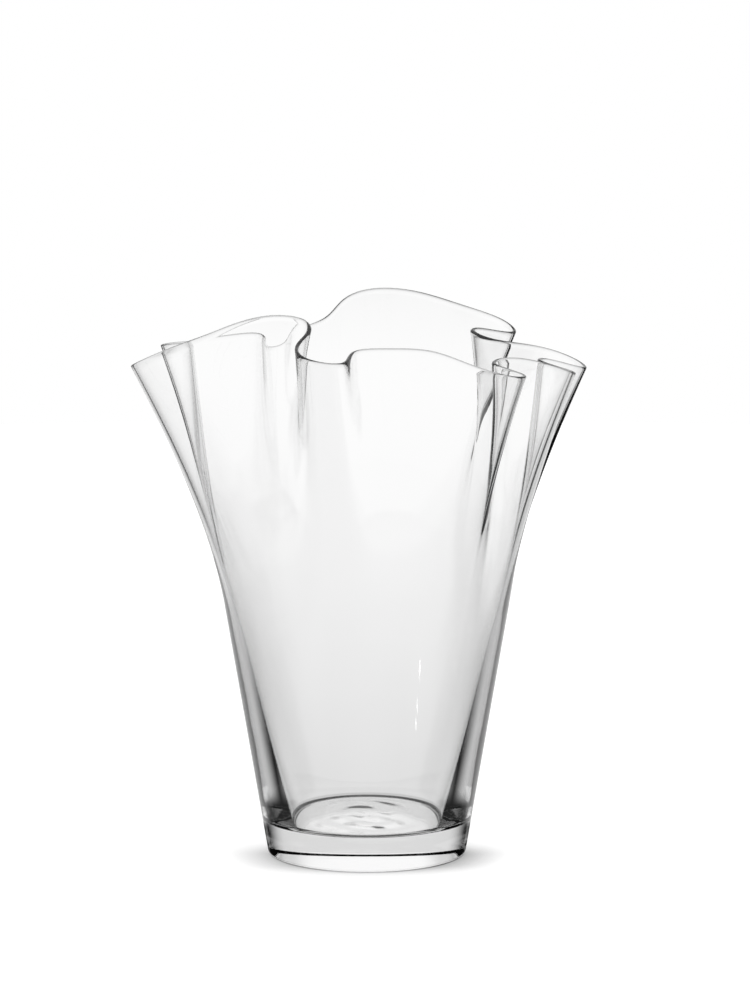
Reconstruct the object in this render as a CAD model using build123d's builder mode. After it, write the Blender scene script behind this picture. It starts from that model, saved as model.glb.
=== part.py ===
from build123d import *
import os
from math import pi, tan

# A clear glass flower vase, blown in one piece: a round body on a thick solid base,
# whose wall was drawn up and let fall into folds while it was soft, so that the mouth
# is an uneven ruffle of narrow flutes and wide panels.
# The origin is the middle of the foot, on the table. The front faces -Y.

# Driving dimensions in millimetres
vase_height = 266.0  # highest crest of the rim above the table
rim_reach = 112.0  # farthest flute tip from the axis
rim_drop = 32.0  # lowest lip of a flute below the highest crest
rim_wall = 2.0  # glass at the rim where it was neither drawn out nor gathered
fold_round = 4.0  # half the width over which a fold turns back at the rim
fold_height = 120.0  # where the round body ends and the folds begin
fold_radius = 68.0  # outside of the round body there
fold_wall = 5.3  # glass there
bend_wall = 2.8  # glass where the wall turns out into the folds
foot_radius = 48.0  # outside of the round body at the table
foot_round = 1.5  # softened edge of the foot
base_thickness = 16.0  # solid glass under the floor
floor_radius = 37.0  # inside of the body at the floor
floor_round = 4.0  # hollow corner between the floor and the wall

# How the folds run down the wall
rail_count = 96
first_rail_turn = 186.0
rail_bend_share = 0.38
crease_bend_share = 1.3
plain_reach_share = 0.65
lip_ease_share = 0.3

# Places round the rim, anticlockwise from the flute on the left:
# degrees from +X, reach as a share of rim_reach, fall below the highest crest as a
# share of rim_drop, and half the fold's width as a share of fold_round, or 0 where
# the rim only passes through
rim_shares = (
    # Left flute, and the front left panel as far as its neck
    (182.0, 0.99, 0.93, 1.0),
    (194.5, 0.86, 0.60, 0.0),
    (209.0, 0.75, 0.31, 0.0),
    (221.5, 0.67, 0.08, 0.0),
    (232.5, 0.58, 0.0, 0.0),
    (243.3, 0.57, 0.10, 0.9),
    # Front spout, undercut on its left flank, and the front right panel
    (246.0, 0.71, 0.33, 0.0),
    (257.5, 0.80, 0.53, 2.2),
    (266.5, 0.62, 0.45, 0.0),
    (279.5, 0.59, 0.43, 0.0),
    (294.5, 0.65, 0.47, 0.0),
    (308.5, 0.755, 0.72, 0.0),
    # Three flutes on the right, each with a valley behind it
    (322.5, 0.82, 0.88, 1.0),
    (330.5, 0.635, 0.73, 1.0),
    (339.0, 0.78, 0.77, 0.0),
    (346.5, 0.895, 0.95, 1.0),
    (356.0, 0.75, 0.83, 1.0),
    (363.5, 0.93, 0.98, 1.0),
    (377.5, 0.78, 0.76, 0.0),
    (391.5, 0.565, 0.56, 1.0),
    # Back right flute and the tall back panel
    (395.0, 0.775, 0.58, 1.0),
    (412.5, 0.70, 0.27, 0.0),
    (439.0, 0.655, 0.04, 0.0),
    (460.0, 0.66, 0.24, 0.0),
    (466.5, 0.66, 0.49, 0.0),
    (473.0, 0.70, 0.64, 0.0),
    # Back left spout and panel, and the flute behind the left one
    (477.0, 0.84, 1.0, 1.0),
    (488.5, 0.73, 0.75, 0.0),
    (505.0, 0.805, 0.74, 0.0),
    (521.0, 0.925, 0.76, 1.0),
    (530.5, 0.77, 0.70, 1.0),
)

# Worked out from the driving dimensions
body_slope = (fold_radius - foot_radius) / fold_height
plain_reach = plain_reach_share * rim_reach
mean_rise = rail_bend_share * (vase_height - rim_drop / 2 - fold_height)
hollow_slope = body_slope + (fold_wall - bend_wall) / mean_rise

# A patch's side is a cubic with a handle at each end. This share of the drift along the
# side makes a handle that draws a round row as a true circle.
handle_share = 4 / 3 * tan(pi / 2 / rail_count) / (2 * pi)
drift_step_share = 0.0001


def outward(share):
    """The level direction away from the axis, at a share of the way round the body."""
    return Vector(1, 0, 0).rotate(Axis.Z, first_rail_turn + 360 * share)


def glass(reach):
    """The rim's glass at a reach: drawn out thinner at the tips, gathered thicker at the necks."""
    return rim_wall * plain_reach / reach


def rim_points():
    """The rim's points in order, with each fold as two points a fold's width apart."""
    places = []
    for turn, reach_share, drop_share, _ in rim_shares:
        height = vase_height - drop_share * rim_drop
        places.append(Vector(rim_reach * reach_share, 0, height).rotate(Axis.Z, turn))
    points = []
    for number, (_, _, _, round_share) in enumerate(rim_shares):
        along = (places[(number + 1) % len(places)] - places[number - 1]).normalized()
        half = along * fold_round * round_share
        points += [places[number] - half, places[number] + half] if round_share else [places[number]]
    return points


with BuildLine() as rim_line:
    Spline(*rim_points(), periodic=True)
rim_edge = rim_line.edge()


# The outside of the folded wall follows rails: each leaves the round body along the body's
# own slope, bends at its middle row and ends at the rim. Equal steps round the body reach
# equal steps along the rim, because the folds were once a plain round mouth.
def root_row(share):
    """The outside at the top of the round body."""
    return outward(share) * fold_radius + Vector(0, 0, fold_height)


def end_row(share):
    """The outside at the rim, where the eased lip begins."""
    return rim_edge.position_at(share % 1)


def reach_row(share):
    """How far the rim reaches from the axis."""
    return (end_row(share) - Vector(0, 0, end_row(share).Z)).length


def bend_row(share):
    """The middle control points of the rails, in line with the body's slope, and higher in a crease."""
    bend_share = rail_bend_share + crease_bend_share * (1 - reach_row(share) / rim_reach) ** 2
    rise = bend_share * (end_row(share).Z - fold_height)
    return root_row(share) + outward(share) * body_slope * rise + Vector(0, 0, rise)


def drift(row, share):
    """How a row moves on for one whole turn at its present pace."""
    ahead, behind = row(share + drift_step_share), row(share - drift_step_share)
    return (ahead - behind) / (2 * drift_step_share)


def middle_row(share):
    """The outside halfway up the rails."""
    return (root_row(share) + bend_row(share) * 2 + end_row(share)) / 4


def middle_normal(share):
    """The direction out of the wall halfway up the rails."""
    climb = end_row(share) - root_row(share)
    return drift(middle_row, share).cross(climb).normalized()


def end_climb(share):
    """The direction up the wall at the rim."""
    return (end_row(share) - bend_row(share)).normalized()


def end_normal(share):
    """The direction out of the wall at the rim."""
    return drift(end_row, share).cross(end_climb(share)).normalized()


def inner_root_row(share):
    """The inside at the top of the round body."""
    return root_row(share) - outward(share) * fold_wall


def inner_bend_row(share):
    """The middle control points of the inside."""
    return bend_row(share) - middle_normal(share) * bend_wall


def inner_end_row(share):
    """The inside at the rim, where the eased lip ends."""
    return end_row(share) - end_normal(share) * glass(reach_row(share))


def lip_ease(share):
    """How far the lip's edges are eased."""
    return lip_ease_share * glass(reach_row(share))


def outer_lip_row(share):
    """The outer edge of the lip's crown."""
    return end_row(share) + (end_climb(share) - end_normal(share)) * lip_ease(share)


def inner_lip_row(share):
    """The inner edge of the lip's crown."""
    return inner_end_row(share) + (end_climb(share) + end_normal(share)) * lip_ease(share)


def sides(row):
    """The four control points of a row between each rail and the next."""
    shares = [number / rail_count for number in range(rail_count)]
    knots = [row(share) for share in shares]
    handles = [drift(row, share) * handle_share for share in shares]
    return [
        [knots[here - 1], knots[here - 1] + handles[here - 1], knots[here] - handles[here], knots[here]]
        for here in range(rail_count)
    ]


def skin(*rows):
    """Smooth patches through the rows, one from each rail to the next."""
    return [Face.make_bezier_surface(list(patch)) for patch in zip(*[sides(row) for row in rows])]


def loop(row):
    """The closed line along a row."""
    return Wire([Edge.make_bezier(*side) for side in sides(row)])


# The rim is set at the height that brings the highest crest of its lip to the vase's height
lip_rows = (outer_lip_row, inner_lip_row)
crest = max(row(number / rail_count).Z for row in lip_rows for number in range(rail_count))
rim_edge = rim_edge.moved(Location((0, 0, vase_height - crest)))

folded_wall = Solid(
    Shell(
        [
            *skin(root_row, bend_row, end_row),
            *skin(end_row, outer_lip_row),
            *skin(outer_lip_row, inner_lip_row),
            *skin(inner_lip_row, inner_end_row),
            *skin(inner_root_row, inner_bend_row, inner_end_row),
            Face(loop(root_row), [loop(inner_root_row)]),
        ]
    )
)

with BuildPart() as vase:
    # The round body and its base are turned from one profile
    with BuildSketch(Plane.XZ) as body_profile:
        with BuildLine():
            Polyline(
                (0, base_thickness),
                (0, 0),
                (foot_radius, 0),
                (fold_radius, fold_height),
                (fold_radius - fold_wall, fold_height),
            )
            TangentArc(
                (fold_radius - fold_wall, fold_height),
                (floor_radius, base_thickness),
                tangent=(-hollow_slope, -1),
            )
            Line((floor_radius, base_thickness), (0, base_thickness))
        make_face()
        foot_corner = body_profile.vertices().sort_by_distance((foot_radius, 0))[0]
        fillet(foot_corner, foot_round)
        floor_corner = body_profile.vertices().sort_by_distance((floor_radius, base_thickness))[0]
        fillet(floor_corner, floor_round)
    revolve(axis=Axis.Z)
    # The folded wall stands on the round body
    add(folded_wall)

vase.part.label = "glass_vase"
os.makedirs("parts", exist_ok=True)
export_step(vase.part, "parts/glass_vase.step")
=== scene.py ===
import functools
import logging
import math
from dataclasses import dataclass
from enum import Enum

import bpy
import numpy as np
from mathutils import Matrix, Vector


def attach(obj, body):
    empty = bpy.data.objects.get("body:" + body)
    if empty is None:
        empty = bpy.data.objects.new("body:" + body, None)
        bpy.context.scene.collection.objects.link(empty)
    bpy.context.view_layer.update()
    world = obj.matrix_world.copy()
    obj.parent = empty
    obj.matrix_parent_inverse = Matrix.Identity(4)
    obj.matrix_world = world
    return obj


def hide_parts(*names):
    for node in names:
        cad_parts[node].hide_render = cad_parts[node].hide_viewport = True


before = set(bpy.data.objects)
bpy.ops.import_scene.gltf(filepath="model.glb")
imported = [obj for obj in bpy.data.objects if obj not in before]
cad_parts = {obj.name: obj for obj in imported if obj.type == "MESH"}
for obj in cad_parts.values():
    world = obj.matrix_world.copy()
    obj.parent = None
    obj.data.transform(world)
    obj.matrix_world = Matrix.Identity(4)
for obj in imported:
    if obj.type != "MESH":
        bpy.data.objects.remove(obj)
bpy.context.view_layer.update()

LOG = logging.getLogger("vase")
MM = 0.001
WHITE = (1.0, 1.0, 1.0, 1.0)

Socket = bpy.types.NodeSocket
Value = Socket | float
Step = tuple[float, float]
Band = tuple[float, float, float, float]
Colour = tuple[float, float, float, float]


class Ray(Enum):
    """What the studio can know of a ray that reaches it, by the Light Path socket that tells it."""

    CAMERA = "Is Camera Ray"
    GLOSSY = "Is Glossy Ray"
    THROUGH_GLASS = "Is Transmission Ray"
    MIRRORED = "Glossy Depth"
    FROM_FLOOR = "Diffuse Depth"
    REFRACTED = "Transmission Depth"


class Skin(Enum):
    """The two faces of the glass wall."""

    OUTSIDE = 0
    INSIDE = 1


@dataclass(frozen=True)
class NodeSketch:
    """A small hand for laying out and joining the nodes of one tree."""

    tree: bpy.types.NodeTree

    @classmethod
    def fresh(cls, owner: bpy.types.ID) -> "NodeSketch":
        """Empties the node tree of a material or a world and takes it in hand.

        Args:
            owner: the material or world.

        Returns:
            The hand for its tree.
        """
        owner.use_nodes = True
        owner.node_tree.nodes.clear()
        return cls(owner.node_tree)

    def add(self, kind: str, **settings: object) -> bpy.types.Node:
        """Adds one node and sets its properties.

        Args:
            kind: the node's type name.
            settings: attributes to set on it.

        Returns:
            The new node.
        """
        node = self.tree.nodes.new(kind)
        for name, value in settings.items():
            setattr(node, name, value)
        return node

    def join(self, source: Socket, target: Socket) -> None:
        """Links one socket to another."""
        self.tree.links.new(source, target)

    def feed(self, value: Value, target: Socket) -> None:
        """Gives an input the result of a socket, or a plain number.

        Args:
            value: the socket or number.
            target: the input.
        """
        if isinstance(value, Socket):
            self.join(value, target)
        else:
            target.default_value = value

    def maths(self, operation: str, first: Value, second: Value = 0.0) -> Socket:
        """Adds a Math node.

        Args:
            operation: the Math node's operation.
            first: a socket or a plain number.
            second: a socket or a plain number, where the operation takes two.

        Returns:
            The result's socket.
        """
        node = self.add("ShaderNodeMath", operation=operation)
        for place, value in enumerate((first, second)):
            self.feed(value, node.inputs[place])
        return node.outputs[0]

    def chain(self, operation: str, *values: Value) -> Socket:
        """Adds Math nodes of one kind that take up the values one after the other."""
        return functools.reduce(lambda first, second: self.maths(operation, first, second), values)

    def times(self, *values: Value) -> Socket:
        """The product of the values."""
        return self.chain("MULTIPLY", *values)

    def most(self, *values: Value) -> Socket:
        """The greatest of the values."""
        return self.chain("MAXIMUM", *values)

    def rest(self, share: Socket) -> Socket:
        """What a share leaves of 1."""
        return self.maths("SUBTRACT", 1.0, share)

    def ramp(self, value: Socket, step: Step, low: float, high: float) -> Socket:
        """Adds a smooth step.

        Args:
            value: the socket to map.
            step: the values where the step begins and ends.
            low: the result before the step.
            high: the result after it.

        Returns:
            The result's socket.
        """
        node = self.add("ShaderNodeMapRange", interpolation_type="SMOOTHSTEP")
        self.join(value, node.inputs["Value"])
        for name, number in zip(("From Min", "From Max", "To Min", "To Max"), (*step, low, high)):
            node.inputs[name].default_value = number
        return node.outputs["Result"]

    def band(self, value: Socket, edges: Band) -> Socket:
        """Adds a band whose edges are where it begins, is full, is last full, and ends."""
        return self.times(self.ramp(value, edges[:2], 0.0, 1.0), self.ramp(value, edges[2:], 1.0, 0.0))

    def any_ray(self, *rays: Ray) -> Socket:
        """Adds a Light Path that is 1 for any of these kinds of ray."""
        path = self.add("ShaderNodeLightPath")
        return self.maths("MINIMUM", self.most(*(path.outputs[ray.value] for ray in rays)), 1.0)

    def often(self, ray: Ray, times: int) -> Socket:
        """Adds a Light Path that is 1 for a ray to which this has happened so many times or more."""
        path = self.add("ShaderNodeLightPath")
        return self.maths("GREATER_THAN", path.outputs[ray.value], times - 0.5)

    def blend(self, share: Socket, first: Value, second: Value) -> Socket:
        """Adds a mix of two numbers.

        Args:
            share: how much of the second one shows, from 0 to 1.
            first: a socket or a plain number.
            second: a socket or a plain number.

        Returns:
            The result's socket.
        """
        node = self.add("ShaderNodeMix")
        for name, value in (("Factor", share), ("A", first), ("B", second)):
            self.feed(value, node.inputs[name])
        return node.outputs["Result"]

    def blend_shaders(self, share: Socket, first: Socket, second: Socket) -> Socket:
        """Adds a mix of two shaders.

        Args:
            share: how much of the second one shows, from 0 to 1.
            first: a shader's socket.
            second: a shader's socket.

        Returns:
            The result's socket.
        """
        node = self.add("ShaderNodeMixShader")
        for place, socket in enumerate((share, first, second)):
            self.join(socket, node.inputs[place])
        return node.outputs[0]


@dataclass(frozen=True)
class RimPlace:
    """One place on the rim.

    The turn is in degrees from +X, the reach and the fall are shares of the rim's, and the
    fold's half width is a share of the rim's, or 0 where the rim only passes through.
    """

    turn: float
    reach_share: float
    drop_share: float
    round_share: float


@dataclass(frozen=True)
class RuffledRim:
    """The folded mouth of the vase, as one closed line along the top of its outside."""

    height_mm: float = 266.0
    reach_mm: float = 111.9
    drop_mm: float = 32.0
    wall_mm: float = 2.0
    plain_reach_share: float = 0.65
    fold_round_mm: float = 4.0
    steps_per_place: int = 80
    places: tuple[RimPlace, ...] = (
        # Left flute, and the front left panel as far as its neck
        RimPlace(182.0, 0.99, 0.93, 1.0),
        RimPlace(194.5, 0.86, 0.60, 0.0),
        RimPlace(209.0, 0.75, 0.31, 0.0),
        RimPlace(221.5, 0.67, 0.08, 0.0),
        RimPlace(232.5, 0.58, 0.0, 0.0),
        RimPlace(243.3, 0.57, 0.10, 0.9),
        # Front spout, undercut on its left flank, and the front right panel
        RimPlace(246.0, 0.71, 0.33, 0.0),
        RimPlace(257.5, 0.80, 0.53, 2.2),
        RimPlace(266.5, 0.62, 0.45, 0.0),
        RimPlace(279.5, 0.59, 0.43, 0.0),
        RimPlace(294.5, 0.65, 0.47, 0.0),
        RimPlace(308.5, 0.755, 0.72, 0.0),
        # Three flutes on the right, each with a valley behind it
        RimPlace(322.5, 0.82, 0.88, 1.0),
        RimPlace(330.5, 0.635, 0.73, 1.0),
        RimPlace(339.0, 0.78, 0.77, 0.0),
        RimPlace(346.5, 0.895, 0.95, 1.0),
        RimPlace(356.0, 0.75, 0.83, 1.0),
        RimPlace(363.5, 0.93, 0.98, 1.0),
        RimPlace(377.5, 0.78, 0.76, 0.0),
        RimPlace(391.5, 0.565, 0.56, 1.0),
        # Back right flute and the tall back panel
        RimPlace(395.0, 0.775, 0.58, 1.0),
        RimPlace(412.5, 0.70, 0.27, 0.0),
        RimPlace(439.0, 0.655, 0.04, 0.0),
        RimPlace(460.0, 0.66, 0.24, 0.0),
        RimPlace(466.5, 0.66, 0.49, 0.0),
        RimPlace(473.0, 0.70, 0.64, 0.0),
        # Back left spout and panel, and the flute behind the left one
        RimPlace(477.0, 0.84, 1.0, 1.0),
        RimPlace(488.5, 0.73, 0.75, 0.0),
        RimPlace(505.0, 0.805, 0.74, 0.0),
        RimPlace(521.0, 0.925, 0.76, 1.0),
        RimPlace(530.5, 0.77, 0.70, 1.0),
    )

    def points(self) -> np.ndarray:
        """The rim's points in order, with each fold as two points a fold's width apart.

        Returns:
            An array of points in millimetres.
        """
        turns = np.radians([place.turn for place in self.places])
        reaches = self.reach_mm * np.array([place.reach_share for place in self.places])
        heights = self.height_mm - self.drop_mm * np.array([place.drop_share for place in self.places])
        spots = np.stack([reaches * np.cos(turns), reaches * np.sin(turns), heights], axis=1)
        spots[:, 2:] -= self.walls(spots) / 2
        along = np.roll(spots, -1, axis=0) - np.roll(spots, 1, axis=0)
        along /= np.linalg.norm(along, axis=1, keepdims=True)
        points = []
        for spot, way, place in zip(spots, along, self.places):
            half = way * self.fold_round_mm * place.round_share
            points += [spot - half, spot + half] if place.round_share else [spot]
        return np.array(points)

    def line(self, count: int) -> np.ndarray:
        """A smooth closed line through the points, walked in equal steps.

        Args:
            count: how many steps go round the rim.

        Returns:
            An array of count points in millimetres.
        """
        points = self.points()
        ahead = np.roll(points, -1, axis=0)
        gaps = np.linalg.norm(ahead - points, axis=1)
        before = np.roll(gaps, 1)
        size = len(points)
        here = np.arange(size)
        matrix = np.zeros((size, size))
        matrix[here, here - 1] = before
        matrix[here, here] = 2 * (before + gaps)
        matrix[here, (here + 1) % size] = gaps
        runs = (ahead - points) / gaps[:, None]
        bends = np.linalg.solve(matrix, 6 * (runs - np.roll(runs, 1, axis=0)))
        next_bends = np.roll(bends, -1, axis=0)
        part = np.linspace(0, 1, self.steps_per_place, endpoint=False)[None, :, None]
        rest = 1 - part
        square = (gaps * gaps / 6)[:, None, None]
        straight = rest * points[:, None] + part * ahead[:, None]
        curve = (rest**3 - rest) * bends[:, None] + (part**3 - part) * next_bends[:, None]
        walk = (straight + square * curve).reshape(-1, 3)
        walk = np.vstack([walk, walk[:1]])
        length = np.concatenate([[0], np.cumsum(np.linalg.norm(np.diff(walk, axis=0), axis=1))])
        wanted = np.arange(count) / count * length[-1]
        return np.stack([np.interp(wanted, length, walk[:, axis]) for axis in range(3)], axis=1)

    def walls(self, line: np.ndarray) -> np.ndarray:
        """A column of the glass along the rim: drawn out thinner at the tips, thicker at the necks."""
        plain_reach = self.plain_reach_share * self.reach_mm
        return (self.wall_mm * plain_reach / np.hypot(line[:, 0], line[:, 1]))[:, None]


@dataclass(frozen=True)
class SettledWaves:
    """The slight waves of the floor, where the soft glass settled.

    The main waves run as rings from the middle to the edge, pulled out of round once and
    twice a turn, with lobes across them. Runs, pulls and starts are in radians.
    """

    height_mm: float = 0.11
    run: float = 17.0
    pull_twice: float = 1.6
    pull_twice_start: float = 0.6
    pull_once: float = 0.8
    lobes: int = 3
    lobe_run: float = 9.0
    lobe_share: float = 0.5

    def lift(self, share: float, turns: np.ndarray) -> np.ndarray:
        """How far the waves lift one ring of the floor.

        Args:
            share: the ring's radius as a share of the floor's.
            turns: the ring's places in radians.

        Returns:
            The lifts in millimetres, one for each place.
        """
        fade = math.sin(math.pi * share) ** 0.5
        pull = self.pull_once * np.sin(turns)
        pull += self.pull_twice * np.sin(2 * turns + self.pull_twice_start)
        lobe = self.lobe_share * np.sin(self.lobes * turns + self.lobe_run * share)
        return self.height_mm * fade * (np.sin(self.run * share + pull) + lobe)


@dataclass(frozen=True)
class ClearGlass:
    """Clear, colourless blown glass with the faintest unevenness of a hand-worked surface."""

    name: str = "clear_glass"
    colour: Colour = WHITE
    ior: float = 1.5
    ripple_scale: float = 38.0
    ripple_detail: float = 1.5
    ripple_height_m: float = 0.00002
    dull_ripple: Step = (0.45, 0.75)
    roughness: Step = (0.0, 0.012)

    def material(self) -> bpy.types.Material:
        """Makes the glass's material.

        Returns:
            The material.
        """
        made = bpy.data.materials.new(self.name)
        sketch = NodeSketch.fresh(made)
        output = sketch.add("ShaderNodeOutputMaterial")
        glass = sketch.add("ShaderNodeBsdfPrincipled")
        glass.inputs["Base Color"].default_value = self.colour
        glass.inputs["IOR"].default_value = self.ior
        glass.inputs["Transmission Weight"].default_value = 1.0
        where = sketch.add("ShaderNodeTexCoord")
        ripple = sketch.add("ShaderNodeTexNoise")
        ripple.inputs["Scale"].default_value = self.ripple_scale
        ripple.inputs["Detail"].default_value = self.ripple_detail
        sketch.join(where.outputs["Object"], ripple.inputs["Vector"])
        bump = sketch.add("ShaderNodeBump")
        bump.inputs["Distance"].default_value = self.ripple_height_m
        sketch.join(ripple.outputs["Fac"], bump.inputs["Height"])
        sketch.join(bump.outputs["Normal"], glass.inputs["Normal"])
        dullness = sketch.ramp(ripple.outputs["Fac"], self.dull_ripple, *self.roughness)
        sketch.join(dullness, glass.inputs["Roughness"])
        sketch.join(glass.outputs["BSDF"], output.inputs["Surface"])
        return made


@dataclass(frozen=True)
class GlassVase:
    """The whole vase: a turned body on a thick base, and the wall above it in folds.

    The glass is one closed skin of rings, from the middle of the foot up the outside, over
    the lip and down the inside to the middle of the floor.
    """

    rim: RuffledRim = RuffledRim()
    waves: SettledWaves = SettledWaves()
    fold_height_mm: float = 120.0
    fold_radius_mm: float = 68.0
    fold_wall_mm: float = 5.3
    bend_wall_mm: float = 2.8
    foot_radius_mm: float = 48.0
    foot_round_mm: float = 1.5
    base_thickness_mm: float = 16.0
    floor_radius_mm: float = 37.0
    floor_round_mm: float = 4.0
    first_rail_turn: float = 186.0
    rail_bend_share: float = 0.38
    crease_bend_share: float = 1.3
    around: int = 720
    foot_shares: tuple[float, ...] = (0.25, 0.6, 0.9, 0.97)
    foot_round_rows: int = 8
    body_rows: int = 44
    rail_rows: int = 64
    lip_rows: int = 10
    floor_round_rows: int = 14
    floor_rows: int = 26
    ease_rows: int = 24
    ease_passes: int = 60
    name: str = "ruffled_glass_vase"

    @property
    def slope(self) -> float:
        """How far the round body leans out for each unit of height."""
        return (self.fold_radius_mm - self.foot_radius_mm) / self.fold_height_mm

    def outward(self) -> np.ndarray:
        """The level directions away from the axis, one for each rail."""
        turns = math.radians(self.first_rail_turn) + np.arange(self.around) / self.around * math.tau
        return np.stack([np.cos(turns), np.sin(turns), np.zeros(self.around)], axis=1)

    def ring(self, radius: float, height: float) -> np.ndarray:
        """A level round ring in millimetres, with one point for each rail."""
        return self.outward() * radius + np.array([0, 0, height])

    def normal(self, row: np.ndarray, climb: np.ndarray) -> np.ndarray:
        """The directions out of the wall along a row.

        Args:
            row: the row's points.
            climb: the directions up the wall at them.

        Returns:
            Unit vectors, one for each point.
        """
        drift = np.roll(row, -1, axis=0) - np.roll(row, 1, axis=0)
        out = np.cross(drift, climb)
        return out / np.linalg.norm(out, axis=1, keepdims=True)

    def rails(self, skin: Skin) -> tuple[np.ndarray, np.ndarray, np.ndarray]:
        """The control rows of the folded wall.

        Args:
            skin: which face of the wall.

        Returns:
            The rows at the top of the round body, at the bend and at the rim.
        """
        root = self.ring(self.fold_radius_mm, self.fold_height_mm)
        end = self.rim.line(self.around)
        short = 1 - np.hypot(end[:, :1], end[:, 1:2]) / self.rim.reach_mm
        bend_share = self.rail_bend_share + self.crease_bend_share * short**2
        rise = bend_share * (end[:, 2:] - self.fold_height_mm)
        bend = root + self.outward() * self.slope * rise + rise * np.array([0, 0, 1])
        if skin is Skin.OUTSIDE:
            return root, bend, end
        middle = (root + 2 * bend + end) / 4
        inner_root = root - self.outward() * self.fold_wall_mm
        inner_bend = bend - self.normal(middle, end - root) * self.bend_wall_mm
        inner_end = end - self.normal(end, end - bend) * self.rim.walls(end)
        return inner_root, inner_bend, inner_end

    def folded_rings(self, skin: Skin) -> list[np.ndarray]:
        """The rings of the folded wall, from the round body up to the rim.

        Args:
            skin: which face of the wall.

        Returns:
            A list of rings.
        """
        root, bend, end = self.rails(skin)
        shares = np.linspace(0, 1, self.rail_rows + 1)
        return [(1 - s) ** 2 * root + 2 * s * (1 - s) * bend + s * s * end for s in shares]

    def lip_rings(self) -> list[np.ndarray]:
        """The rings over the rounded lip, between the outside and the inside.

        Returns:
            A list of rings.
        """
        _, bend, end = self.rails(Skin.OUTSIDE)
        inner_end = self.rails(Skin.INSIDE)[2]
        climb = (end - bend) / np.linalg.norm(end - bend, axis=1, keepdims=True)
        lift = climb * self.rim.walls(end) * 2 / 3
        shares = np.linspace(0, 1, self.lip_rows + 2)[1:-1]
        return [
            (1 - s) ** 3 * end + 3 * s * (1 - s) ** 2 * (end + lift)
            + 3 * s * s * (1 - s) * (inner_end + lift) + s**3 * inner_end
            for s in shares
        ]

    def body_outline(self) -> list[np.ndarray]:
        """The outside of the round body, from the foot's edge to the folds.

        Returns:
            Radius and height pairs in millimetres.
        """
        lean = math.atan(self.slope)
        cut = self.foot_round_mm / math.tan((math.pi / 2 - lean) / 2)
        centre = np.array([self.foot_radius_mm - cut, self.foot_round_mm])
        foot = [
            centre + self.foot_round_mm * np.array([math.cos(t), math.sin(t)])
            for t in np.linspace(-math.pi / 2, -lean, self.foot_round_rows)
        ]
        low, top = foot[-1], np.array([self.fold_radius_mm, self.fold_height_mm])
        wall = [low + s * (top - low) for s in np.linspace(0, 1, self.body_rows + 1)[1:]]
        return foot + wall

    def hollow_outline(self) -> list[np.ndarray]:
        """The inside of the round body, from the folds down to the edge of the level floor.

        Returns:
            Radius and height pairs in millimetres.
        """
        top = np.array([self.fold_radius_mm - self.fold_wall_mm, self.fold_height_mm])
        low = np.array([self.floor_radius_mm, self.base_thickness_mm])
        rise = self.rail_bend_share * (self.rim.height_mm - self.rim.drop_mm / 2 - self.fold_height_mm)
        lean = self.slope + (self.fold_wall_mm - self.bend_wall_mm) / rise
        way = np.array([-lean, -1.0]) / math.hypot(lean, 1.0)
        side = np.array([way[1], -way[0]])
        gap = low - top
        radius = gap @ gap / (2 * gap @ side)
        centre = top + side * radius
        height = self.base_thickness_mm + self.floor_round_mm
        reach = radius - self.floor_round_mm
        corner = np.array([centre[0] + math.sqrt(reach**2 - (height - centre[1]) ** 2), height])
        first = math.atan2(*(top - centre)[::-1])
        last = math.atan2(*(corner - centre)[::-1])
        wall = [
            centre + radius * np.array([math.cos(t), math.sin(t)])
            for t in np.linspace(first, last, self.body_rows + 1)[1:]
        ]
        bowl = [
            corner + self.floor_round_mm * np.array([math.cos(t), math.sin(t)])
            for t in np.linspace(last, -math.pi / 2, self.floor_round_rows)[1:]
        ]
        return wall + bowl

    def floor_rings(self, edge: float) -> list[np.ndarray]:
        """The rings of the floor with its slight waves.

        Args:
            edge: the radius of the level floor in millimetres.

        Returns:
            A list of rings, ending just short of the axis.
        """
        turns = np.arange(self.around) / self.around * math.tau
        rings = []
        for share in np.linspace(1, 0, self.floor_rows + 1)[1:-1]:
            ring = self.ring(edge * share, self.base_thickness_mm)
            ring[:, 2] += self.waves.lift(share, turns)
            rings.append(ring)
        return rings

    def eased(self, rings: list[np.ndarray]) -> list[np.ndarray]:
        """Eases the join between the folded and the round inside.

        Args:
            rings: the inside's rings from the rim downwards.

        Returns:
            The rings with those near the join smoothed along the rails.
        """
        stack = np.array(rings)
        first, last = self.rail_rows - self.ease_rows, self.rail_rows + self.ease_rows + 1
        for _ in range(self.ease_passes):
            smooth = (stack[first - 1:last - 1] + stack[first + 1:last + 1]) / 2
            stack[first:last] = (stack[first:last] + smooth) / 2
        return list(stack)

    def rings(self) -> list[np.ndarray]:
        """All the rings, from the foot up the outside and down the inside to the floor.

        Returns:
            A list of rings in millimetres.
        """
        body_outline = self.body_outline()
        foot_edge = body_outline[0][0]
        foot = [self.ring(foot_edge * share, 0.0) for share in self.foot_shares]
        body = [self.ring(*place) for place in body_outline]
        outside = self.folded_rings(Skin.OUTSIDE)[1:]
        inside = self.folded_rings(Skin.INSIDE)[::-1]
        hollow_outline = self.hollow_outline()
        hollow = [self.ring(*place) for place in hollow_outline]
        floor = self.floor_rings(hollow_outline[-1][0])
        return foot + body + outside + self.lip_rings() + self.eased(inside + hollow) + floor

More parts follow.
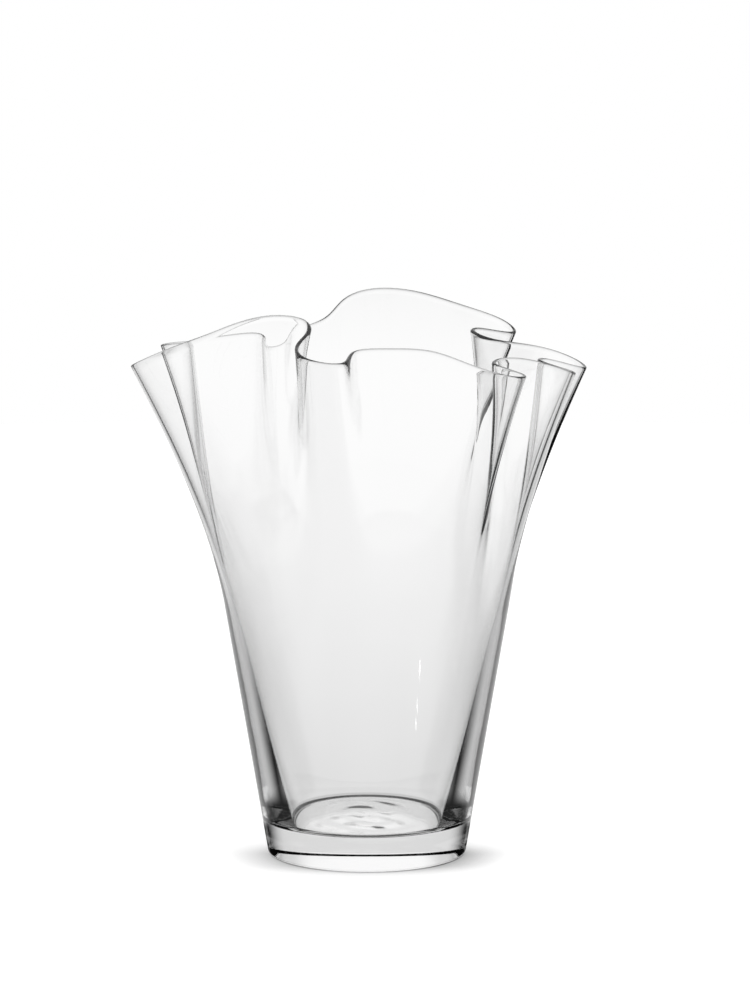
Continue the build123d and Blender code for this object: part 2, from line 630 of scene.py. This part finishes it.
    def mesh(self) -> bpy.types.Mesh:
        """Joins the rings to one closed, smooth mesh.

        Returns:
            The mesh.
        """
        rings = self.rings()
        count = self.around
        foot_middle = np.zeros((1, 3))
        floor_middle = np.array([[0.0, 0.0, rings[-1][:, 2].mean()]])
        points = np.vstack([*rings, foot_middle, floor_middle]) * MM
        here = np.arange(count)
        ahead = (here + 1) % count
        low = np.arange(len(rings) - 1)[:, None] * count
        high = low + count
        quads = np.stack([low + here, low + ahead, high + ahead, high + here], axis=2)
        first, last = len(points) - 2, len(points) - 1
        top = (len(rings) - 1) * count
        faces = quads.reshape(-1, 4).tolist()
        faces += [(first, int(b), int(a)) for a, b in zip(here, ahead)]
        faces += [(last, int(top + a), int(top + b)) for a, b in zip(here, ahead)]
        mesh = bpy.data.meshes.new(self.name)
        mesh.from_pydata(points.tolist(), [], faces)
        mesh.polygons.foreach_set("use_smooth", [True] * len(mesh.polygons))
        mesh.validate()
        mesh.update()
        return mesh

    def build(self, finish: ClearGlass) -> bpy.types.Object:
        """Builds the vase and dresses it.

        Args:
            finish: the glass.

        Returns:
            The vase.
        """
        mesh = self.mesh()
        mesh.materials.append(finish.material())
        vase = bpy.data.objects.new(self.name, mesh)
        bpy.context.scene.collection.objects.link(vase)
        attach(vase, "root")
        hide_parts("glass_vase")
        return vase


@dataclass(frozen=True)
class PaleFloor:
    """A plain pale floor that melts into the backdrop, with the vase's cast shadow, a painted contact
    shadow beside the foot and a painted shadow ring that the glass sees.
    """

    radius_m: float = 1.5
    sides: int = 96
    below_foot_m: float = 0.0002
    colour: Colour = (0.9, 0.9, 0.9, 1.0)
    glow: float = 0.45
    # The contact_ fields shape the painted contact shadow beside the foot: its reach, its samples, its
    # depth from left to right, and where it lies across and along the floor.
    contact_m: float = 0.024
    contact_samples: int = 16
    contact_shares: Step = (0.70, 0.95)
    contact_side_m: Step = (-0.07, 0.07)
    contact_depth_m: Band = (-0.056, -0.030, -0.010, 0.020)
    # Painted shadow ring that the glass sees: its faint glow, and the radii where it begins, is full, is
    # last full and ends, for reflected and for straight rays.
    painted_shadow_glow: float = 0.012
    mirrored_ring_m: Band = (0.047, 0.049, 0.072, 0.088)
    straight_ring_m: Band = (0.047, 0.049, 0.053, 0.059)
    name: str = "pale_floor"

    def painted_shadow_share(self, sketch: NodeSketch, where: Socket) -> Socket:
        """How much of the floor's colour and glow stays under a painted contact shadow: less beside the
        foot, and least on the right.

        Args:
            sketch: the floor's nodes.
            where: the place on the floor.

        Returns:
            The socket with the share.
        """
        contact = sketch.add("ShaderNodeAmbientOcclusion", samples=self.contact_samples)
        contact.inputs["Distance"].default_value = self.contact_m
        parts = sketch.add("ShaderNodeSeparateXYZ")
        sketch.join(where, parts.inputs[0])
        # Painted contact shadow, placed by a band along the floor and painted deeper towards the right.
        near = sketch.times(
            sketch.band(parts.outputs["Y"], self.contact_depth_m),
            sketch.ramp(parts.outputs["X"], self.contact_side_m, *self.contact_shares),
        )
        return sketch.blend(near, 1.0, contact.outputs["AO"])

    def painted_shadow_ring(self, sketch: NodeSketch, where: Socket) -> Socket:
        """The floor as the glass sees it: a painted shadow, dark close round the foot, and clear elsewhere.

        Args:
            sketch: the floor's nodes.
            where: the place on the floor.

        Returns:
            The socket with the shader.
        """
        length = sketch.add("ShaderNodeVectorMath", operation="LENGTH")
        sketch.join(where, length.inputs[0])
        radius = length.outputs["Value"]
        straight = sketch.band(radius, self.straight_ring_m)
        mirrored = sketch.band(radius, self.mirrored_ring_m)
        ring = sketch.blend(sketch.any_ray(Ray.MIRRORED), straight, mirrored)
        # Painted shadow: a near-black glow inside the ring.
        painted_shadow = sketch.add("ShaderNodeEmission")
        painted_shadow.inputs["Strength"].default_value = self.painted_shadow_glow
        clear = sketch.add("ShaderNodeBsdfTransparent")
        return sketch.blend_shaders(ring, clear.outputs[0], painted_shadow.outputs[0])

    def material(self) -> bpy.types.Material:
        """Makes the floor's material.

        Returns:
            The material.
        """
        made = bpy.data.materials.new(self.name)
        sketch = NodeSketch.fresh(made)
        output = sketch.add("ShaderNodeOutputMaterial")
        where = sketch.add("ShaderNodeTexCoord").outputs["Object"]
        # Painted contact shadow: the floor's colour and its glow are both scaled down beside the foot.
        painted_shadow_share = self.painted_shadow_share(sketch, where)
        shaded = sketch.add("ShaderNodeVectorMath", operation="SCALE")
        shaded.inputs[0].default_value = self.colour[:3]
        sketch.join(painted_shadow_share, shaded.inputs["Scale"])
        matt = sketch.add("ShaderNodeBsdfDiffuse")
        sketch.join(shaded.outputs[0], matt.inputs["Color"])
        glow = sketch.add("ShaderNodeEmission")
        strength = sketch.times(sketch.any_ray(Ray.CAMERA), painted_shadow_share, self.glow)
        sketch.join(strength, glow.inputs["Strength"])
        both = sketch.add("ShaderNodeAddShader")
        sketch.join(matt.outputs[0], both.inputs[0])
        sketch.join(glow.outputs[0], both.inputs[1])
        # Rays through or reflected by the glass see the painted shadow ring instead of the lit floor.
        by_glass = sketch.any_ray(Ray.THROUGH_GLASS, Ray.GLOSSY)
        seen = sketch.blend_shaders(by_glass, both.outputs[0], self.painted_shadow_ring(sketch, where))
        sketch.join(seen, output.inputs["Surface"])
        return made

    def build(self) -> bpy.types.Object:
        """Builds the floor as a disc.

        Returns:
            The floor.
        """
        turns = np.arange(self.sides) / self.sides * math.tau
        points = [
            (self.radius_m * math.cos(t), self.radius_m * math.sin(t), -self.below_foot_m) for t in turns
        ]
        mesh = bpy.data.meshes.new(self.name)
        mesh.from_pydata(points, [], [tuple(range(self.sides))])
        mesh.materials.append(self.material())
        floor = bpy.data.objects.new(self.name, mesh)
        bpy.context.scene.collection.objects.link(floor)
        return floor


@dataclass(frozen=True)
class RayEnd:
    """How a ray reaches the studio, as sockets.

    The side, depth and height are the parts of its direction: to the right, away from the
    viewer, and up. The turn is its angle from straight behind the vase, in radians. Mirrored
    is 1 for a ray that the glass reflected on its way, and straight is 1 for any other.
    """

    side: Socket
    depth: Socket
    height: Socket
    turn: Socket
    mirrored: Socket
    straight: Socket

    @classmethod
    def read(cls, sketch: NodeSketch) -> "RayEnd":
        """Reads the ray in the world's nodes.

        Args:
            sketch: the world's nodes.

        Returns:
            The ray's sockets.
        """
        where = sketch.add("ShaderNodeTexCoord")
        parts = sketch.add("ShaderNodeSeparateXYZ")
        sketch.join(where.outputs["Generated"], parts.inputs[0])
        side, depth, height = (parts.outputs[axis] for axis in "XYZ")
        mirrored = sketch.any_ray(Ray.MIRRORED)
        turn = sketch.maths("ARCTAN2", side, depth)
        return cls(side, depth, height, turn, mirrored, sketch.rest(mirrored))


@dataclass(frozen=True)
class Backdrop:
    """A soft sheet behind the vase, leant back, with a brighter heart that dims at the level."""

    lean_degrees: float = 15.0
    level: float = 0.76
    edge: Step = (0.43, 0.75)
    heart: float = 0.24
    heart_edge: Step = (0.80, 0.93)
    heart_gap: Band = (-0.15, -0.05, 0.05, 0.16)

    def lit(self, sketch: NodeSketch, ray: RayEnd) -> Socket:
        """Lays out the sheet's light.

        Args:
            sketch: the world's nodes.
            ray: the ray that finds it.

        Returns:
            The socket with the brightness.
        """
        lean = math.radians(self.lean_degrees)
        along, up = sketch.times(ray.depth, math.cos(lean)), sketch.times(ray.height, math.sin(lean))
        facing = sketch.maths("ADD", along, up)
        open_heart = sketch.rest(sketch.band(ray.height, self.heart_gap))
        heart = sketch.times(sketch.ramp(facing, self.heart_edge, 0.0, self.heart), open_heart)
        return sketch.maths("ADD", sketch.ramp(facing, self.edge, 0.0, self.level), heart)


@dataclass(frozen=True)
class Room:
    """The dim room in front of the vase and the paler walls beside it, which only reflections show."""

    front: float = 0.55
    front_depth: Step = (-0.1, 0.62)
    front_height: Step = (-0.55, -0.2)
    flank: float = 0.9
    flank_depth: Step = (0.45, 0.85)
    flank_height: Step = (-0.38, -0.30)
    gap_depth: Step = (-0.35, -0.1)
    gap_height: Band = (-0.12, -0.04, 0.04, 0.09)

    def lit(self, sketch: NodeSketch, ray: RayEnd) -> Socket:
        """Lays out the room's light, with a dark gap at the level.

        Args:
            sketch: the world's nodes.
            ray: the ray that finds it.

        Returns:
            The socket with the brightness.
        """
        front = sketch.times(
            sketch.ramp(ray.depth, self.front_depth, 1.0, 0.0),
            sketch.ramp(ray.height, self.front_height, 0.0, self.front),
        )
        flank = sketch.times(
            sketch.ramp(ray.depth, self.flank_depth, 1.0, 0.0),
            sketch.ramp(ray.height, self.flank_height, 0.0, self.flank),
        )
        gap = sketch.times(
            sketch.ramp(ray.depth, self.gap_depth, 0.0, 1.0),
            sketch.band(ray.height, self.gap_height),
        )
        return sketch.times(sketch.most(front, flank), sketch.rest(gap), ray.mirrored)


@dataclass(frozen=True)
class Table:
    """The pale table: dim in reflections, most of all in the middle, and bright straight down."""

    beside: float = 0.5
    middle: float = 0.1
    side: Step = (0.45, 0.70)
    height: Step = (-0.62, -0.5)
    below: float = 0.9
    below_height: Step = (-0.82, -0.70)

    def lit(self, sketch: NodeSketch, ray: RayEnd) -> Socket:
        """Lays out the table's light.

        Args:
            sketch: the world's nodes.
            ray: the ray that finds it.

        Returns:
            The socket with the brightness.
        """
        aside = sketch.maths("ABSOLUTE", ray.side)
        reflected = sketch.times(
            sketch.ramp(aside, self.side, self.middle, self.beside),
            sketch.ramp(ray.height, self.height, 1.0, 0.0),
            ray.mirrored,
        )
        below = sketch.times(sketch.ramp(ray.height, self.below_height, self.below, 0.0), ray.straight)
        return sketch.most(reflected, below)


@dataclass(frozen=True)
class Overhead:
    """A soft light above the vase."""

    level: float = 0.55
    height: Step = (0.3, 0.6)

    def lit(self, sketch: NodeSketch, ray: RayEnd) -> Socket:
        """Lays out the light from above."""
        return sketch.ramp(ray.height, self.height, 0.0, self.level)


@dataclass(frozen=True)
class Windows:
    """A round of lit openings that only rays straight through the glass find.

    The turn of the first one is in degrees from straight behind the vase, and the heights
    are sines of the angle above the level: dark, full, full and dark again. The edge is
    where an opening begins and is full, on a cosine that is 1 in the middle of each.
    """

    first_turn: float
    heights: Band
    level: float
    count: int = 4
    edge: Step = (-0.2, 0.8)

    def lit(self, sketch: NodeSketch, ray: RayEnd) -> Socket:
        """Lays out the openings' light.

        Args:
            sketch: the world's nodes.
            ray: the ray that finds it.

        Returns:
            The socket with the brightness.
        """
        turn = sketch.maths("SUBTRACT", ray.turn, math.radians(self.first_turn))
        wave = sketch.maths("COSINE", sketch.times(turn, float(self.count)))
        panes = sketch.ramp(wave, self.edge, 0.0, self.level)
        return sketch.times(panes, sketch.band(ray.height, self.heights))


@dataclass(frozen=True)
class Glint:
    """A small lamp that shows only as a glint on the first face of the glass.

    The turns and heights are each where the lamp begins, is full, is last full, and ends:
    degrees from straight behind the vase, and sines of the angle above the level.
    """

    heights: Band
    level: float
    turns: Band = (130.4, 131.0, 131.7, 132.3)

    def lit(self, sketch: NodeSketch, ray: RayEnd) -> Socket:
        """Lays out the lamp's light."""
        turns = tuple(math.radians(turn) for turn in self.turns)
        return sketch.times(sketch.band(ray.turn, turns), sketch.band(ray.height, self.heights), self.level)


@dataclass(frozen=True)
class Studio:
    """A white studio: a soft backdrop behind the vase, a dimmer room in front, and the camera."""

    camera_m: tuple[float, float, float] = (0.0039, -2.3, 0.531)
    aim_m: tuple[float, float, float] = (0.0039, 0.0, 0.171)
    lens_mm: float = 175.7
    sensor_mm: float = 36.0
    view_end_m: float = 50.0
    backdrop: Backdrop = Backdrop()
    room: Room = Room()
    table: Table = Table()
    overhead: Overhead = Overhead()
    far_windows: tuple[Windows, ...] = (
        Windows(0.0, (-0.19, -0.12, 0.06, 0.13), 0.95),
        Windows(45.0, (-0.62, -0.52, -0.24, -0.14), 0.85),
    )
    far_faces: int = 3
    side_windows: tuple[Windows, ...] = (
        Windows(0.0, (-0.75, -0.60, 0.06, 0.13), 0.95),
        Windows(45.0, (-0.62, -0.52, -0.24, -0.14), 0.85),
    )
    side_depth: Step = (0.72, 0.9)
    glints: tuple[Glint, ...] = (
        Glint((-0.4804, -0.4796, -0.4772, -0.4764), 10.0),
        Glint((-0.4850, -0.4844, -0.4834, -0.4828), 8.0),
        Glint((-0.4892, -0.4884, -0.4868, -0.4860), 8.0),
    )
    fill: float = 1.0
    shade: float = 0.4

    def build_camera(self) -> bpy.types.Object:
        """Sets up the camera at the photograph's viewing angle.

        Returns:
            The camera.
        """
        data = bpy.data.cameras.new("camera")
        data.lens = self.lens_mm
        data.sensor_width = self.sensor_mm
        data.clip_end = self.view_end_m
        camera = bpy.data.objects.new("camera", data)
        camera.location = self.camera_m
        way = Vector(self.aim_m) - Vector(self.camera_m)
        camera.rotation_euler = way.to_track_quat("-Z", "Y").to_euler()
        bpy.context.scene.collection.objects.link(camera)
        bpy.context.scene.camera = camera
        return camera

    def lit(self, sketch: NodeSketch) -> Socket:
        """Lays out all the light that the glass can find.

        The far windows are for rays that crossed the whole vase, the side windows for those
        that leave it away from the backdrop.

        Args:
            sketch: the world's nodes.

        Returns:
            The socket with the brightness.
        """
        ray = RayEnd.read(sketch)
        lights = (self.backdrop, self.room, self.table, self.overhead)
        levels = [light.lit(sketch, ray) for light in lights]
        across = sketch.times(ray.straight, sketch.often(Ray.REFRACTED, self.far_faces))
        levels += [sketch.times(windows.lit(sketch, ray), across) for windows in self.far_windows]
        aside = sketch.times(ray.straight, sketch.ramp(ray.depth, self.side_depth, 1.0, 0.0))
        levels += [sketch.times(windows.lit(sketch, ray), aside) for windows in self.side_windows]
        first_face = sketch.times(ray.mirrored, sketch.rest(sketch.often(Ray.REFRACTED, 1)))
        glints = [sketch.times(glint.lit(sketch, ray), first_face) for glint in self.glints]
        return sketch.chain("ADD", sketch.most(*levels), *glints)

    def build_world(self) -> bpy.types.World:
        """Makes the surroundings: white to the camera, the studio's lights to everything else.

        Returns:
            The world.
        """
        world = bpy.data.worlds.new("studio")
        sketch = NodeSketch.fresh(world)
        output = sketch.add("ShaderNodeOutputWorld")
        floor = sketch.blend(sketch.any_ray(Ray.THROUGH_GLASS, Ray.GLOSSY), self.fill, self.shade)
        light = sketch.add("ShaderNodeBackground")
        level = sketch.blend(sketch.any_ray(Ray.FROM_FLOOR), self.lit(sketch), floor)
        sketch.join(level, light.inputs["Strength"])
        white = sketch.add("ShaderNodeBackground")
        for node in (light, white):
            node.inputs["Color"].default_value = WHITE
        seen = sketch.blend_shaders(sketch.any_ray(Ray.CAMERA), light.outputs[0], white.outputs[0])
        sketch.join(seen, output.inputs["Surface"])
        bpy.context.scene.world = world
        return world


def main() -> None:
    """Builds the vase and its studio in order."""
    logging.basicConfig(level=logging.INFO, format="%(message)s")
    bpy.context.scene.view_settings.view_transform = "Standard"
    studio = Studio()
    LOG.info("camera: %s", studio.build_camera().name)
    LOG.info("world: %s", studio.build_world().name)
    LOG.info("floor: %s", PaleFloor().build().name)
    vase = GlassVase().build(ClearGlass())
    LOG.info("vase: %s, %d faces", vase.name, len(vase.data.polygons))
    bpy.context.view_layer.update()


if __name__ == "__main__":
    main()
